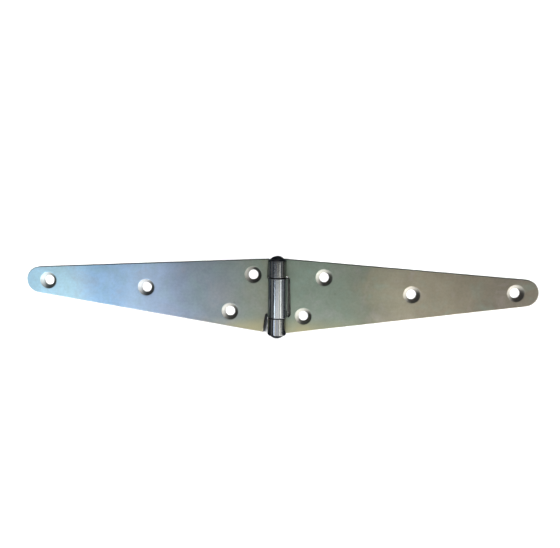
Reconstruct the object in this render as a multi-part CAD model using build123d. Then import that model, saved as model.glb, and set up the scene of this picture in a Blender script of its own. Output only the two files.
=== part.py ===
"""Double strap hinge: two tapered sheet-steel leaves rolled round one riveted pin.

The hinge lies open on its back. X runs along the straps with the outer-knuckle leaf on +X,
Y runs along the pin, and Z is up, out of the mounting face, with the leaf backs at Z = 0.
The origin is on the mounting face straight under the middle of the pin.
All lengths are in millimetres and all angles in degrees.
"""

import os
from math import cos, radians, sin, tan

from build123d import *

# Sheet and overall size
SHEET_T = 2.5  # thickness of the strip both leaves are pressed from
LEAF_LENGTH = 152.4  # pin axis to leaf tip, six inches
EDGE_ROUND = 0.5  # soft rim that shearing and barrelling leave on the front of the leaf

# Tapered strap outline, measured from the pin axis outwards
ROOT_HALF_WIDTH = 22.9  # half width of the strap if its sides ran on to the pin axis
TAPER = 5.88  # angle of each side to the strap's centre line
LEFT_SKEW = 3.2  # the left strap stands this far out of square to the pin, tip towards +Y
RIGHT_SKEW = 1.7  # the right strap does the same by less

# Barrel
BARREL_R = 5.5  # outside radius of the rolled knuckles
BARREL_LENGTH = 45.6  # over the outer faces of the outer knuckles
CENTRE_KNUCKLE = 23.4  # length of the centre knuckle
CENTRE_BULGE = 0.4  # the looser centre roll has this much more radius, gained above and across
KNUCKLE_GAP = 0.4  # play between neighbouring knuckles
BORE_R = BARREL_R - SHEET_T  # inside radius of the rolled knuckles
SEAM_ANGLE = 30.0  # how far below the pin axis the rolled end stops, just off the leaf
END_ROUND = 1.3  # rim at the outer ends of the barrel
JOINT_ROUND = 0.3  # rim where two knuckles meet
ROLL_OVERLAP = 0.5  # overlap that joins the roll to the flat strap in one solid
SLACK = 0.01  # tolerance for picking edges by position

# Notches that clear the other leaf's knuckles
LEFT_NOTCH = 6.5  # pin axis to the left leaf's notch edges, at their inner ends
LEFT_LEAN = 5.0  # angle by which the edge of the left leaf's lower notch leans out from the pin
RIGHT_NOTCH = 7.4  # pin axis to the right leaf's notch edge, on the centre line
NOTCH_CORNER_R = 1.8  # rounded inner corner of a notch
NOTCH_RELIEF = 1.5  # how far the left notches cut in past the end of the centre knuckle

# Pin, headed over at both ends
PIN_PLAY = 0.05  # radial play in the bore
PIN_R = BORE_R - PIN_PLAY
HEAD_R = 3.8  # radius of the headed-over end
HEAD_H = 1.8  # height of the headed-over end beyond the barrel
HEAD_RIM = 0.3  # straight rim of the head under its dome

# Countersunk screw holes for No. 10 wood screws: (distance from the pin axis, sideways offset)
HOLES = ((15.2, -12.1), (27.9, 10.9), (79.2, 0.0), (139.2, 0.0))
HOLE_R = 2.9
SINK_R = 4.95  # countersink radius at the front face
SINK_DEPTH = 2.05  # depth of the 90 degree countersink, leaving a short straight land
SINK_ROUND = 0.8  # soft lip where the countersink meets the front face

PIN_Z = BARREL_R
HALF_BARREL = BARREL_LENGTH / 2
HALF_CENTRE = CENTRE_KNUCKLE / 2
OUTER_START = HALF_CENTRE + KNUCKLE_GAP
OUTER_LENGTH = HALF_BARREL - OUTER_START


def strap_outline():
    """Flat outline of one strap along +X: straight tapered sides into a full round tip."""
    slope = tan(radians(TAPER))
    side_at_tip = ROOT_HALF_WIDTH - slope * LEAF_LENGTH
    tip_r = side_at_tip * cos(radians(TAPER)) / (1 - sin(radians(TAPER)))
    tip_x = LEAF_LENGTH - tip_r
    touch_x = tip_x + tip_r * sin(radians(TAPER))
    touch_y = tip_r * cos(radians(TAPER))
    root_x = -BARREL_R
    root_y = ROOT_HALF_WIDTH - slope * root_x
    sides = make_face(
        Polyline(
            (root_x, -root_y), (touch_x, -touch_y), (touch_x, touch_y), (root_x, root_y), close=True
        )
    )
    return sides + Pos(tip_x, 0) * Circle(tip_r)


def notch(depth, start, end, relief, skew, lean=0.0):
    """Outline of one notch from the pin axis out to its edge, with rounded inner corners.

    The skew keeps the edge along the pin when the strap is turned, and the lean opens the notch
    with growing Y.
    """

    def edge_x(y):
        return depth - tan(radians(skew)) * y + tan(radians(lean)) * (y - start)

    low, high = start - relief, end + relief
    outline = make_face(
        Polyline((-depth, low), (edge_x(low), low), (edge_x(high), high), (-depth, high), close=True)
    )
    inner = [v for v in outline.vertices() if v.X > 0 and abs(v.Y) < HALF_BARREL]
    return fillet(inner, NOTCH_CORNER_R)


def flat_strap(skew, notches, bulge):
    """The flat part of a leaf along +X, turned by the skew, cut square at the barrel."""
    outline = Rot(0, 0, skew) * strap_outline()
    outline -= notches
    beyond_pin = Pos(-LEAF_LENGTH / 2 - bulge, 0) * Rectangle(LEAF_LENGTH, LEAF_LENGTH)
    outline -= beyond_pin
    for side in (1, -1):
        shoulder = Pos(0, side * (HALF_BARREL + LEAF_LENGTH / 2))
        outline -= shoulder * Rectangle(2 * BARREL_R, LEAF_LENGTH)
    body = extrude(outline, SHEET_T)
    front = body.edges().filter_by_position(Axis.Z, SHEET_T, SHEET_T)
    return fillet([e for e in front if e.center().X > SLACK - bulge], EDGE_ROUND)


def knuckle(start, length, bulge):
    """Rolled knuckle whose strap is on +X: behind the pin, over the front, down to the strap."""
    reach = 2 * BARREL_R
    outside_r = BARREL_R + bulge
    ring = Pos(-bulge, bulge) * Circle(outside_r) - Circle(BORE_R)
    seam = (reach * cos(radians(SEAM_ANGLE)), -reach * sin(radians(SEAM_ANGLE)))
    gap = make_face(
        Polyline(
            (0, 0), seam, (reach, -reach), (ROLL_OVERLAP, -reach), (ROLL_OVERLAP, 0), close=True
        )
    )
    section = Plane((0, start, PIN_Z), x_dir=(1, 0, 0), z_dir=(0, -1, 0)) * (ring - gap)
    body = extrude(section, -length)
    for at_end, size in ((True, END_ROUND), (False, JOINT_ROUND)):
        rims = [
            e
            for e in body.edges().filter_by(GeomType.CIRCLE)
            if abs(e.radius - outside_r) < SLACK
            and (abs(e.center().Y) > HALF_BARREL - SLACK) == at_end
        ]
        body = fillet(rims, size) if rims else body
    return body


def countersunk(body, skew):
    """Cut the four screw holes, countersunk on the front."""
    turn = Rot(0, 0, skew)
    for along, across in HOLES:
        place = turn * Pos(along, across, 0)
        body -= place * Pos(0, 0, SHEET_T / 2) * Cylinder(HOLE_R, 2 * SHEET_T)
        cone = Cone(SINK_R - SINK_DEPTH, SINK_R, SINK_DEPTH)
        body -= place * Pos(0, 0, SHEET_T - SINK_DEPTH / 2) * cone
    lips = [
        e
        for e in body.edges().filter_by(GeomType.CIRCLE).filter_by_position(Axis.Z, SHEET_T, SHEET_T)
        if abs(e.radius - SINK_R) < SLACK
    ]
    return fillet(lips, SINK_ROUND)


def outer_knuckle_leaf():
    """Leaf on +X that carries the two outer knuckles and holds the pin."""
    clearance = notch(RIGHT_NOTCH, -OUTER_START, OUTER_START, 0, RIGHT_SKEW)
    body = flat_strap(RIGHT_SKEW, clearance, 0)
    for start in (OUTER_START, -HALF_BARREL):
        body += knuckle(start, OUTER_LENGTH, 0)
    return countersunk(body, RIGHT_SKEW)


def centre_knuckle_leaf():
    """Leaf on -X that carries the centre knuckle and swings on the pin.

    It is built along +X and then turned about, so its lower notch is the one built at +Y.
    """
    past_end = LEAF_LENGTH / 2
    lower = notch(LEFT_NOTCH, HALF_CENTRE, past_end, NOTCH_RELIEF, -LEFT_SKEW, LEFT_LEAN)
    upper = notch(LEFT_NOTCH, -past_end, -HALF_CENTRE, NOTCH_RELIEF, -LEFT_SKEW)
    body = flat_strap(-LEFT_SKEW, upper + lower, CENTRE_BULGE)
    body += knuckle(-HALF_CENTRE, CENTRE_KNUCKLE, CENTRE_BULGE)
    return Rot(0, 0, 180) * countersunk(body, -LEFT_SKEW)


def hinge_pin():
    """Plain pin with both ends headed over into shallow domes."""
    dome = HEAD_H - HEAD_RIM
    dome_r = (HEAD_R**2 + dome**2) / (2 * dome)
    head = Pos(0, 0, HEAD_H / 2) * Cylinder(HEAD_R, HEAD_H)
    head &= Pos(0, 0, HEAD_H - dome_r) * Sphere(dome_r)
    head = Pos(0, 0, HALF_BARREL) * head
    pin = Cylinder(PIN_R, BARREL_LENGTH) + head + Rot(180, 0, 0) * head
    return Pos(0, 0, PIN_Z) * Rot(90, 0, 0) * pin


def main():
    os.makedirs("parts", exist_ok=True)
    nodes = {
        "outer_knuckle_leaf": outer_knuckle_leaf(),
        "centre_knuckle_leaf": centre_knuckle_leaf(),
        "hinge_pin": hinge_pin(),
    }
    for name, shape in nodes.items():
        solids = shape.solids()
        assert len(solids) == 1, f"{name} has {len(solids)} solids"
        export_step(solids[0], f"parts/{name}.step")


main()
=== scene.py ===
"""Looks of a zinc-plated strap hinge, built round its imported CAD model. Metres, Z up."""

import math

import bmesh
import bpy
from mathutils import Matrix, Vector


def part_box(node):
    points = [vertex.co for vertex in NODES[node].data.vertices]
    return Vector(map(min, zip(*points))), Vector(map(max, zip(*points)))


MM = 0.001

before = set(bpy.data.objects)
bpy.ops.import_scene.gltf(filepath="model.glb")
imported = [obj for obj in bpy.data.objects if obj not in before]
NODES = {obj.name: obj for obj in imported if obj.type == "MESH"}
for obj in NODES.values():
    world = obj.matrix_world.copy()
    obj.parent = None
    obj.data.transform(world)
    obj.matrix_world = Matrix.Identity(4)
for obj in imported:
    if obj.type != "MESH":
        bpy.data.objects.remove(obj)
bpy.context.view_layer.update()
SCENE = bpy.context.scene

# ---------------------------------------------------------------- the hinge's own landmarks
LEAF_LOW, LEAF_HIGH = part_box("outer_knuckle_leaf")
BACK_Z = LEAF_LOW[2]  # the mounting face, where the backs of both leaves lie
HALF_BARREL = LEAF_HIGH[1]  # the barrel's outer ends are the widest place of this leaf
BARREL_FROM = 2.7 * MM  # up to this height a leaf is dressed as flat sheet
BARREL_FULL = 3.4 * MM  # and over this one as rolled barrel


# ---------------------------------------------------------------- small node-graph helpers
class Graph:
    """A node tree with short calls: most add one node and return its first output."""

    NOISE_LOW, NOISE_HIGH = 0.3, 0.7  # nearly all of a noise lies between these

    def __init__(self, tree):
        self.tree = tree
        tree.nodes.clear()

    def node(self, kind, inputs=None, **settings):
        made = self.tree.nodes.new(kind)
        for key, value in settings.items():
            setattr(made, key, value)
        for key, value in (inputs or {}).items():
            if isinstance(value, bpy.types.NodeSocket):
                self.tree.links.new(value, made.inputs[key])
            else:
                made.inputs[key].default_value = value
        return made

    def math(self, operation, a, b=0.0, clamp=False):
        made = self.node("ShaderNodeMath", {0: a, 1: b}, operation=operation, use_clamp=clamp)
        return made.outputs[0]

    def times(self, a, b):
        return self.math("MULTIPLY", a, b)

    def span(self, value, low, high, to_low=0.0, to_high=1.0, smooth=False):
        kind = "SMOOTHSTEP" if smooth else "LINEAR"
        made = self.node(
            "ShaderNodeMapRange",
            {"Value": value, "From Min": low, "From Max": high, "To Min": to_low, "To Max": to_high},
            interpolation_type=kind,
        )
        return made.outputs[0]

    def spread(self, noise, to_low, to_high):
        """A noise's usual range, spread over the range given."""
        return self.span(noise, self.NOISE_LOW, self.NOISE_HIGH, to_low, to_high)

    def noise(self, vector, scale, detail=3.0, roughness=0.5, distortion=0.0):
        inputs = {
            "Vector": vector,
            "Scale": scale,
            "Detail": detail,
            "Roughness": roughness,
            "Distortion": distortion,
        }
        return self.node("ShaderNodeTexNoise", inputs).outputs["Fac"]

    def mix(self, factor, a, b, blend="MIX"):
        made = self.node("ShaderNodeMix", data_type="RGBA", blend_type=blend)
        for key, value in ((0, factor), (6, a), (7, b)):
            if isinstance(value, bpy.types.NodeSocket):
                self.tree.links.new(value, made.inputs[key])
            else:
                made.inputs[key].default_value = value
        return made.outputs[2]

    def ramp(self, value, stops):
        made = self.node("ShaderNodeValToRGB", {0: value})
        made.color_ramp.interpolation = "B_SPLINE"
        elements = made.color_ramp.elements
        while len(elements) < len(stops):
            elements.new(0.5)
        for element, (position, colour) in zip(elements, stops):
            element.position = position
            element.color = colour
        return made.outputs["Color"]

    def shade(self, colour, level):
        even = self.node("ShaderNodeCombineColor", {0: level, 1: level, 2: level}).outputs[0]
        return self.mix(1.0, colour, even, "MULTIPLY")

    def stretched(self, vector, scale):
        return self.node("ShaderNodeMapping", {"Vector": vector, "Scale": scale}).outputs[0]

    def bump(self, height, strength, distance):
        inputs = {"Strength": strength, "Distance": distance, "Height": height}
        return self.node("ShaderNodeBump", inputs).outputs[0]

    def surface(self, inputs):
        """Close the material with a principled shader that has these inputs."""
        shader = self.node("ShaderNodeBsdfPrincipled", inputs)
        self.node("ShaderNodeOutputMaterial", {"Surface": shader.outputs[0]})


def new_material(name):
    material = bpy.data.materials.new(name)
    material.use_nodes = True
    return material, Graph(material.node_tree)


def linear(red, green, blue):
    """An 8-bit display colour as linear light, by the sRGB curve."""
    channels = []
    for value in (red, green, blue):
        value /= 255
        channels.append(value / 12.92 if value <= 0.04045 else ((value + 0.055) / 1.055) ** 2.4)
    return (*channels, 1.0)


def grey(value):
    return (value, value, value, 1.0)


# ---------------------------------------------------------------- zinc plate
# Passivation tint along each strap, from the pin axis outwards: (millimetres, display colour).
# The hue is the plating's tint; the change in brightness along each strap is painted reflection.
# Seen from above, all of that change is in these stops, and none of it is in the lights.
CENTRE_LEAF_TINT_AND_SHEEN = (
    (0.0, (138, 140, 122)),
    (10.0, (140, 146, 130)),
    (22.0, (141, 151, 146)),
    (34.0, (138, 147, 149)),
    (44.0, (140, 152, 162)),
    (56.0, (144, 157, 174)),
    (70.0, (162, 179, 205)),
    (88.0, (180, 204, 226)),
    (102.0, (150, 186, 222)),
    (118.0, (185, 220, 240)),
    (130.0, (188, 220, 230)),
    (152.0, (191, 231, 252)),
)
OUTER_LEAF_TINT_AND_SHEEN = (
    (0.0, (136, 148, 134)),
    (22.0, (135, 148, 135)),
    (40.0, (135, 145, 130)),
    (50.0, (135, 139, 124)),
    (58.0, (143, 142, 123)),
    (70.0, (166, 160, 140)),
    (88.0, (152, 145, 127)),
    (112.0, (143, 136, 119)),
    (130.0, (128, 122, 110)),
    (152.0, (130, 123, 112)),
)
# the blotches push the tint and its painted reflection brightness along the strap
TINT_AND_SHEEN_DRIFT = 7.0 * MM  # how far blotches push the tint along the strap
# darker and lighter tone of the drawn lines on each leaf's rolled knuckles
CENTRE_ROLLED = ((148, 154, 164), (170, 172, 166))
OUTER_ROLLED = ((120, 125, 134), (148, 147, 139))

# display colours of the marks on the plate, and of painted shade
ROSY_FILM = (176, 166, 170)
GREEN_FILM = (140, 172, 160)
# straw film colour, lighter than the plate: partly film, partly painted light
STRAW_FILM_AND_LIGHT = (176, 168, 132)
THIN_PLATE = (70, 66, 58)
SINK_WALL = (101, 99, 94)
# sheared edges, also used as painted shade on the roll's underside
SHEARED_EDGE_AND_SHADE = (74, 72, 66)
BARREL_END = (58, 60, 64)
# painted shade along the rims
RIM_SHADE_COLOUR = (66, 64, 56)
WIRE_DARK = (96, 100, 104)
WIRE_LIGHT = (138, 140, 138)
HAMMERED_END = (56, 58, 64)

# the straw-coloured film comes in between these two places across the strap, and fades between
# these two distances from the pin; its hue is the plate's, its extra lightness is painted light
LIT_FILM_NEAR_Y = -11.0 * MM
LIT_FILM_FULL_Y = -20.0 * MM
LIT_FILM_GONE = 66.0 * MM
LIT_FILM_FULL = 12.0 * MM

RIM_WIDTH = 0.55 * MM
LEAF_BUMP = 0.06 * MM
WIRE_BUMP = 0.2 * MM
GRAIN_STRETCH = (60.0, 2200.0, 2200.0)  # the mill's grain runs along the strap
DRAWN_STRETCH = (1100.0, 12.0, 1100.0)  # the knuckles' drawn lines run along the pin


def strap_tint_and_sheen(g, shifted, along, tint_and_sheen):
    """The tint by distance from the pin, with painted reflection in its brightness, pushed about by
    slow blotches.
    """
    blotch = g.noise(shifted, scale=34.0, detail=4.0, roughness=0.55, distortion=0.6)
    reach = g.math("ADD", along, g.spread(blotch, -TINT_AND_SHEEN_DRIFT, TINT_AND_SHEEN_DRIFT))
    length = tint_and_sheen[-1][0] * MM
    stops = [(mm * MM / length, linear(*colour)) for mm, colour in tint_and_sheen]
    return g.ramp(g.math("DIVIDE", reach, length), stops)


def weathered(g, colour, shifted, grain):
    """Clouding, mottle, a faint iridescence and the mill's fine grain."""
    cloud = g.spread(g.noise(shifted, scale=110.0, detail=5.0, roughness=0.6), 0.93, 1.07)
    mottle = g.spread(g.noise(shifted, scale=700.0, roughness=0.6), 0.95, 1.05)
    iris = g.noise(shifted, scale=75.0, detail=4.0, roughness=0.6, distortion=0.8)
    colour = g.mix(g.span(iris, 0.52, 0.7, 0.0, 0.2), colour, linear(*ROSY_FILM))
    colour = g.mix(g.span(iris, 0.48, 0.3, 0.0, 0.2), colour, linear(*GREEN_FILM))
    level = g.times(g.times(cloud, mottle), g.span(grain, 0.25, 0.75, 0.975, 1.025))
    return g.shade(colour, level)


def filmed_and_lit(g, colour, shifted, along, y):
    """A straw-coloured film on the lower corner beside the barrel, lighter than the plate: the
    lightness is painted light.
    """
    low_side = g.span(y, LIT_FILM_NEAR_Y, LIT_FILM_FULL_Y, smooth=True)
    corner = g.times(low_side, g.span(along, LIT_FILM_GONE, LIT_FILM_FULL))
    film_and_light = g.times(corner, g.spread(g.noise(shifted, scale=90.0), 0.45, 0.95))
    return g.mix(film_and_light, colour, linear(*STRAW_FILM_AND_LIGHT))


def specked(g, colour, shifted):
    """Small dark specks where the plating is thin."""
    cells = g.node("ShaderNodeTexVoronoi", {"Vector": shifted, "Scale": 130.0}, feature="F1")
    dot = g.span(cells.outputs["Distance"], 0.05, 0.12, 1.0, 0.0, smooth=True)
    rare = g.span(g.noise(shifted, scale=60.0, detail=2.0), 0.58, 0.66)
    return g.mix(g.times(g.times(dot, rare), 0.5), colour, linear(*THIN_PLATE))


def rim_shade(g, flat, sunk):
    """How much a place belongs to a rim, outside countersinks, where the rim gets painted shade."""
    soft = g.node("ShaderNodeBevel", {"Radius": RIM_WIDTH}, samples=6).outputs[0]
    true = g.node("ShaderNodeNewGeometry").outputs["True Normal"]
    same = g.node("ShaderNodeVectorMath", {0: soft, 1: true}, operation="DOT_PRODUCT")
    bent = g.span(same.outputs["Value"], 0.999, 0.93)
    return g.times(bent, g.math("SUBTRACT", flat, sunk, clamp=True))


def zinc_leaf(name, side, tint_and_sheen, rolled_tones, seed):
    """Satin zinc plate on rolled sheet, its tint and its painted reflection brightness drifting
    along the strap.
    """
    material, g = new_material(name)
    coords = g.node("ShaderNodeTexCoord")
    place = coords.outputs["Object"]
    apart = g.node("ShaderNodeSeparateXYZ", {0: place})
    x, y, z = apart.outputs
    facing = g.node("ShaderNodeSeparateXYZ", {0: coords.outputs["Normal"]}).outputs
    shifted = g.node("ShaderNodeVectorMath", {0: place, 1: (seed, seed, 0.0)}).outputs[0]
    along = g.times(x, side)
    grain = g.noise(g.stretched(shifted, GRAIN_STRETCH), scale=1.0, detail=2.0, roughness=0.6)

    # tint by distance from the pin, with painted reflection brightening and darkening it along the
    # strap
    colour = strap_tint_and_sheen(g, shifted, along, tint_and_sheen)
    colour = weathered(g, colour, shifted, grain)
    # straw film on the lower corner beside the barrel; its extra lightness there is painted light
    colour = filmed_and_lit(g, colour, shifted, along, y)
    colour = specked(g, colour, shifted)

    # rolled barrel: cooler and more polished than the flat, drawn out in fine lines along the pin
    barrel = g.span(z, BARREL_FROM, BARREL_FULL)
    flat = g.math("SUBTRACT", 1.0, barrel)
    drawn = g.noise(g.stretched(shifted, DRAWN_STRETCH), scale=1.0, roughness=0.55)
    dark, light = (linear(*tone) for tone in rolled_tones)
    colour = g.mix(barrel, colour, g.mix(g.span(drawn, 0.35, 0.65), dark, light))

    # the countersink walls are darker and mostly not metal, so that the lamp shows on them
    upright = g.math("ABSOLUTE", facing[2])
    sloped = g.times(g.span(upright, 0.97, 0.85), g.span(upright, 0.3, 0.5))
    sunk = g.times(sloped, flat)
    colour = g.mix(g.times(sunk, 0.9), colour, linear(*SINK_WALL))
    metal = g.math("SUBTRACT", 1.0, g.times(sunk, 0.75))

    # sheared edges and the barrel's ends are darker, and the roll's underside and the rims get
    # painted shade
    sheared = g.times(g.span(upright, 0.5, 0.15), flat)
    # painted shade on the roll's underside, where it faces down
    underside_shade = g.times(g.span(facing[2], -0.2, -0.4), g.span(upright, 0.998, 0.97))
    colour = g.mix(g.math("MAXIMUM", sheared, underside_shade), colour, linear(*SHEARED_EDGE_AND_SHADE))
    ends = g.times(g.span(g.math("ABSOLUTE", facing[1]), 0.1, 0.6), barrel)
    colour = g.mix(g.times(ends, 0.85), colour, linear(*BARREL_END))
    # painted shade along the rims, strongest where the bevelled normal turns away
    colour = g.mix(g.times(rim_shade(g, flat, sunk), 0.7), colour, linear(*RIM_SHADE_COLOUR))

    # roughness: satin on the flat, polished on the roll, duller on its ends and in countersinks
    satin = g.spread(g.noise(shifted, scale=160.0, detail=4.0, roughness=0.6), 0.34, 0.44)
    satin = g.math("ADD", satin, g.spread(grain, -0.03, 0.03))
    rolled = g.spread(drawn, 0.15, 0.2)
    rough = g.math("ADD", g.times(satin, flat), g.times(rolled, barrel))
    rough = g.math("ADD", rough, g.times(ends, 0.2))
    rough = g.math("ADD", rough, g.times(sunk, 0.06))

    # the flat is a little uneven, from fine grain up to slow waves
    pits = g.times(g.noise(shifted, scale=1500.0), 0.5)
    height = g.math("ADD", g.times(grain, 0.25), pits)
    height = g.math("ADD", height, g.noise(shifted, scale=120.0))
    normal = g.bump(g.times(height, flat), 0.12, LEAF_BUMP)

    g.surface({"Base Color": colour, "Metallic": metal, "Roughness": rough, "Normal": normal})
    return material


def zinc_pin(name):
    """Zinc-plated wire with hammered, slightly darker ends."""
    material, g = new_material(name)
    place = g.node("ShaderNodeTexCoord").outputs["Object"]
    y = g.node("ShaderNodeSeparateXYZ", {0: place}).outputs[1]
    patch = g.noise(place, scale=700.0, detail=4.0, roughness=0.6)
    colour = g.mix(g.span(patch, 0.35, 0.65), linear(*WIRE_DARK), linear(*WIRE_LIGHT))
    end = g.span(g.math("ABSOLUTE", y), HALF_BARREL - 0.4 * MM, HALF_BARREL + 0.6 * MM)
    colour = g.mix(g.times(end, 0.8), colour, linear(*HAMMERED_END))
    satin = g.spread(g.noise(place, scale=1200.0), 0.3, 0.4)
    rough = g.math("ADD", satin, g.times(end, 0.25))
    normal = g.bump(g.noise(place, scale=420.0), 0.2, WIRE_BUMP)
    g.surface({"Base Color": colour, "Metallic": 1.0, "Roughness": rough, "Normal": normal})
    return material


def dress(node, material):
    NODES[node].data.materials.clear()
    NODES[node].data.materials.append(material)


# each leaf lies on one side of the pin, and its seed gives it noise of its own
OUTER_SIDE, OUTER_SEED = 1.0, 3.7
CENTRE_SIDE, CENTRE_SEED = -1.0, 8.1
dress(
    "outer_knuckle_leaf",
    zinc_leaf("zinc_outer_leaf", OUTER_SIDE, OUTER_LEAF_TINT_AND_SHEEN, OUTER_ROLLED, OUTER_SEED),
)
dress(
    "centre_knuckle_leaf",
    zinc_leaf("zinc_centre_leaf", CENTRE_SIDE, CENTRE_LEAF_TINT_AND_SHEEN, CENTRE_ROLLED, CENTRE_SEED),
)
dress("hinge_pin", zinc_pin("zinc_pin"))


# ---------------------------------------------------------------- floor
FLOOR_DROP = 0.16  # the floor lies this far below the hinge, so that a leaf can swing down
FLOOR_GREY = 0.93
FLOOR_R = 2.6  # the floor is flat out to here, then curves up into the backdrop
COVE_R = 3.0
COVE_STEPS = 12
COVE_SIDES = 96
STEP_EDGE = 5.7 * MM  # a step nearly as high as the mounting face carries the fixed leaf from here
STEP_SIZE = 5.0
STEP_TOP = BACK_Z - 0.05 * MM
TAB_FROM = (-10.0 * MM, -24.0 * MM)  # the tab lies under the lower notch
TAB_TO = (1.8 * MM, -10.0 * MM)
TAB_T = 0.05 * MM


def pale_material():
    material, g = new_material("pale_floor")
    g.surface({"Base Color": grey(FLOOR_GREY), "Roughness": 0.9, "Specular IOR Level": 0.1})
    return material


def scenery(name, bm):
    """A pale object of that mesh, seen by the camera but not by reflections or bounced light."""
    mesh = bpy.data.meshes.new(name)
    bm.to_mesh(mesh)
    bm.free()
    made = bpy.data.objects.new(name, mesh)
    SCENE.collection.objects.link(made)
    made.visible_glossy = False
    made.visible_diffuse = False
    made.data.materials.append(PALE)
    return made


def pale_floor():
    """A round pale floor that curves up into a backdrop on every side."""
    level = BACK_Z - FLOOR_DROP
    bm = bmesh.new()
    turns = [math.tau * side / COVE_SIDES for side in range(COVE_SIDES)]
    rings = []
    for step in range(COVE_STEPS + 1):
        lift = math.pi / 2 * step / COVE_STEPS
        reach = FLOOR_R + COVE_R * math.sin(lift)
        z = level + COVE_R * (1 - math.cos(lift))
        rings.append([bm.verts.new((reach * math.cos(t), reach * math.sin(t), z)) for t in turns])
    bm.faces.new(rings[0])
    for inner, outer in zip(rings, rings[1:]):
        for side in range(COVE_SIDES):
            after = (side + 1) % COVE_SIDES
            bm.faces.new((inner[side], outer[side], outer[after], inner[after]))
    floor = scenery("studio_floor", bm)
    for face in floor.data.polygons:
        face.use_smooth = face.index > 0
    return floor


def pale_block(name, low, high):
    """A block of the floor's material between two corners."""
    bm = bmesh.new()
    bmesh.ops.create_cube(bm, size=1.0)
    bmesh.ops.scale(bm, vec=[b - a for a, b in zip(low, high)], verts=bm.verts)
    bmesh.ops.translate(bm, vec=[(a + b) / 2 for a, b in zip(low, high)], verts=bm.verts)
    block = scenery(name, bm)
    return block


PALE = pale_material()
FLOOR = pale_floor()
# the fixed leaf lies on the step, and a paper-thin tab shades the gap of the lower notch:
# it floats, and the swinging leaf passes through it
STEP = pale_block(
    "studio_step",
    (STEP_EDGE, -STEP_SIZE, BACK_Z - FLOOR_DROP),
    (STEP_SIZE, STEP_SIZE, STEP_TOP),
)
TAB = pale_block("studio_tab", (*TAB_FROM, STEP_TOP - TAB_T), (*TAB_TO, STEP_TOP))
STAGE = (FLOOR, STEP, TAB)


# ---------------------------------------------------------------- light
WHITE = (1.0, 1.0, 1.0)
COOL = (0.88, 0.94, 1.0)
WARM = (1.0, 0.98, 0.9)
SKY = (0.72, 0.84, 1.0, 1.0)
SKY_STRENGTH = 0.055
CEILING = 1.3  # height of the level boxes over the hinge
HINGE = (0.0, 0.0, 0.0)


def soft_box(name, place, size_x, size_y, radiance, colour=WHITE, target=HINGE):
    """A rectangular soft box aimed at the target, its brightness given as radiance."""
    light = bpy.data.lights.new(name, "AREA")
    light.shape = "RECTANGLE"
    light.size = size_x
    light.size_y = size_y
    light.energy = radiance * math.pi * size_x * size_y
    light.color = colour
    made = bpy.data.objects.new(name, light)
    made.location = place
    aim = Vector(target) - Vector(place)
    made.rotation_euler = aim.to_track_quat("-Z", "Y").to_euler()
    made.visible_camera = False
    SCENE.collection.objects.link(made)
    return made


def around(from_zenith, towards, distance):
    """A point seen from the hinge that far from straight up, in that compass direction from +X."""
    tilt, turn = math.radians(from_zenith), math.radians(towards)
    return (
        distance * math.sin(tilt) * math.cos(turn),
        distance * math.sin(tilt) * math.sin(turn),
        distance * math.cos(tilt),
    )


def shine_only_on(light, receivers):
    """Let the light reach these objects and nothing else, and show in no reflection."""
    light.visible_glossy = False
    group = bpy.data.collections.new(f"{light.name}_receivers")
    for receiver in receivers:
        group.objects.link(receiver)
    light.light_linking.receiver_collection = group


def ceiling_box(name, x_range, y_range, radiance, colour=WHITE):
    """A soft box that hangs level at the ceiling over that range of X and Y."""
    middle_x, middle_y = sum(x_range) / 2, sum(y_range) / 2
    size_x, size_y = x_range[1] - x_range[0], y_range[1] - y_range[0]
    place = (middle_x, middle_y, CEILING)
    below = (middle_x, middle_y, 0.0)
    return soft_box(name, place, size_x, size_y, radiance, colour, target=below)


def metal_lights():
    """The boxes that the metal mirrors, by range of X, range of Y and radiance."""
    lights = (
        ceiling_box("front_box", (-0.54, 0.64), (-1.8, -0.165), 1.55),
        ceiling_box("left_strip", (-0.98, -0.66), (-1.8, -0.25), 5.8, COOL),
        ceiling_box("right_strip", (0.82, 1.2), (-1.8, -0.145), 3.9, WARM),
        ceiling_box("back_box", (-1.0, 1.0), (0.9, 2.0), 0.7),
        ceiling_box("far_back_box", (-1.6, 1.6), (2.0, 4.5), 0.35),
        ceiling_box("far_left_box", (-4.5, -2.0), (-1.6, 1.6), 0.35),
        ceiling_box("far_right_box", (2.0, 4.5), (-1.6, 1.6), 0.35),
        ceiling_box("far_front_box", (-1.6, 1.6), (-4.5, -1.8), 1.0),
        soft_box("low_front", around(68.0, -40.0, 1.2), size_x=0.9, size_y=0.9, radiance=2.4),
    )
    for light in lights:
        light.visible_diffuse = False


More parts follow.
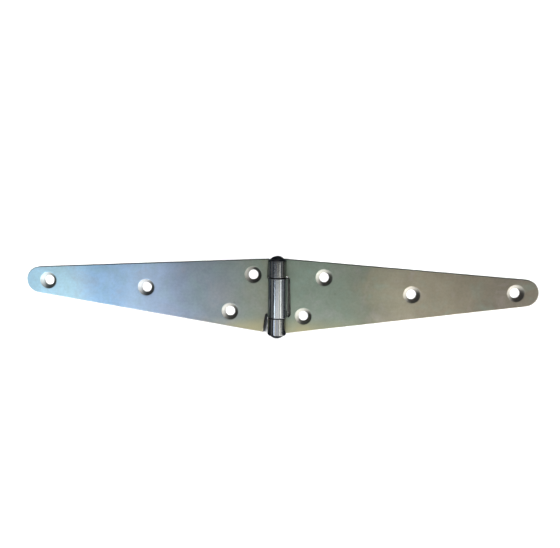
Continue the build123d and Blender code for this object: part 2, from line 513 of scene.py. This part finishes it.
def stage_lights():
    """Two low fills for the floor and four lights for the backdrop, which miss the metal."""
    for name, towards in (("floor_fill_left", 180.0), ("floor_fill_right", 0.0)):
        place = around(66.0, towards, 1.6)
        fill = soft_box(name, place, size_x=0.7, size_y=2.5, radiance=15.0)
        shine_only_on(fill, STAGE)
    for turn in range(4):
        towards = 45.0 + 90.0 * turn
        place = around(58.0, towards, 3.6)
        foot = around(90.0, towards, 4.2)
        name = f"backdrop_light_{turn}"
        light = soft_box(name, place, size_x=4.0, size_y=0.8, radiance=14.0, target=foot)
        shine_only_on(light, STAGE)


def sink_light():
    """A lamp for the duller countersinks, from the front right, that reaches only the leaves."""
    place = around(66.0, -42.0, 1.2)
    light = soft_box("sink_light", place, size_x=0.5, size_y=0.5, radiance=170.0)
    shine_only_on(light, (NODES["outer_knuckle_leaf"], NODES["centre_knuckle_leaf"]))


def soft_room():
    """A dim bluish surrounding."""
    world = bpy.data.worlds.new("soft_room")
    SCENE.world = world
    world.use_nodes = True
    g = Graph(world.node_tree)
    background = g.node("ShaderNodeBackground", {"Color": SKY, "Strength": SKY_STRENGTH})
    g.node("ShaderNodeOutputWorld", {"Surface": background.outputs[0]})


metal_lights()
stage_lights()
sink_light()
soft_room()


# ---------------------------------------------------------------- camera
CAMERA_AT = Vector((18.9, 54.8, 348.4)) * MM
CAMERA_AIM = Vector((1.45, 13.6, 2.5)) * MM
CAMERA_ROLL = -0.5
CAMERA_LENS = 37.85
SENSOR_WIDTH = 36.0
CLIP_START = 0.01


def photo_camera():
    """The camera over the hinge, its upper side towards +Y but for the roll."""
    data = bpy.data.cameras.new("camera")
    data.lens = CAMERA_LENS
    data.sensor_width = SENSOR_WIDTH
    data.clip_start = CLIP_START
    made = bpy.data.objects.new("camera", data)
    back = (CAMERA_AT - CAMERA_AIM).normalized()
    right = Vector((0.0, 1.0, 0.0)).cross(back).normalized()
    up = back.cross(right)
    roll = Matrix.Rotation(math.radians(-CAMERA_ROLL), 3, "Z")
    turn = Matrix((right, up, back)).transposed() @ roll
    made.matrix_world = Matrix.Translation(CAMERA_AT) @ turn.to_4x4()
    SCENE.collection.objects.link(made)
    SCENE.camera = made


photo_camera()
SCENE.view_settings.view_transform = "Standard"
